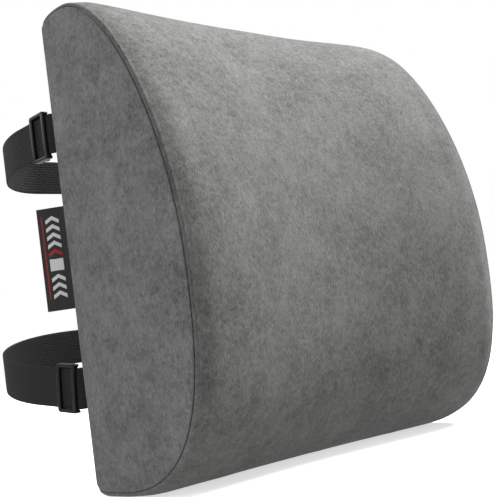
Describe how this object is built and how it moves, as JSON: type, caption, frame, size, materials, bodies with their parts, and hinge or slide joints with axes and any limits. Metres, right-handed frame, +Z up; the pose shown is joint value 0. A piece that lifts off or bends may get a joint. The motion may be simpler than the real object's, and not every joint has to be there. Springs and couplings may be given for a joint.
{
  "type": "lumbar support cushion",
  "caption": "Memory-foam lumbar support cushion with a hollowed front, zipped plush cover, two elastic chair straps with slide adjusters and a side label.",
  "frame": {"origin": "middle of the flat back face, which rests on the chair's backrest", "axes": "+Y towards the chair behind the cushion, -Y is the hollowed front, +Z up, +X to the right as seen from the front"},
  "size_m": [0.3366, 0.2695, 0.33],
  "materials": {
    "memory_foam": "open-cell moulded foam",
    "liner_cloth": "thin matt knit",
    "cover_plush": "short-pile grey plush",
    "zip_tape": "woven tape",
    "zip_nylon": "satin nylon",
    "zip_metal": "plated zinc",
    "strap_elastic": "ribbed elastic webbing",
    "adjuster_plastic": "glossy black moulding",
    "thread": "dense polyester stitching",
    "label_weave": "folded damask label"
  },
  "bodies": {
    "cushion": {"foam_core": "memory_foam", "foam_liner": "liner_cloth", "cover_front_panel": "cover_plush", "cover_side_panel_left": "cover_plush", "cover_side_panel_right": "cover_plush", "cover_back_panel": "cover_plush", "cover_back_lower_panel": "cover_plush", "zip_tape_upper": "zip_tape", "zip_tape_lower": "zip_tape", "zip_teeth_upper": "zip_nylon", "zip_teeth_lower": "zip_nylon", "zip_bottom_stop": "zip_metal", "zip_top_stop": "zip_metal", "upper_strap_band": "strap_elastic", "lower_strap_band": "strap_elastic"},
    "zip_slider_body": {"zip_slider": "zip_metal"},
    "zip_pull_body": {"zip_pull": "zip_metal"},
    "upper_adjuster_body": {"upper_adjuster": "adjuster_plastic", "upper_strap_fold": "strap_elastic", "upper_fold_bar_tack": "thread"},
    "lower_adjuster_body": {"lower_adjuster": "adjuster_plastic", "lower_strap_fold": "strap_elastic", "lower_fold_bar_tack": "thread"},
    "label_body": {"woven_label": "label_weave"}
  },
  "joints": [
    {"name": "zip_slide", "type": "slide", "parent": "cushion", "child": "zip_slider_body", "axis": [1, 0, 0], "range_m": [0, 0.234]},
    {"name": "zip_pull_flip", "type": "hinge", "parent": "zip_slider_body", "child": "zip_pull_body", "pos_m": [-0.117, 0.0024, -0.131], "axis": [0, 0, -1], "range_deg": [0, 170]},
    {"name": "upper_adjuster_slide", "type": "slide", "parent": "cushion", "child": "upper_adjuster_body", "axis": [0.1072, 0.9942, 0], "range_m": [0, 0.015]},
    {"name": "lower_adjuster_slide", "type": "slide", "parent": "cushion", "child": "lower_adjuster_body", "axis": [-0.0067, 0.9937, 0.1117], "range_m": [0, 0.015]},
    {"name": "label_flex", "type": "hinge", "parent": "cushion", "child": "label_body", "pos_m": [-0.16213, 0.00063, -0.004], "axis": [0, 0, 1], "range_deg": [-55, 45], "stiffness_Nm_per_rad": 0.002}
  ]
}
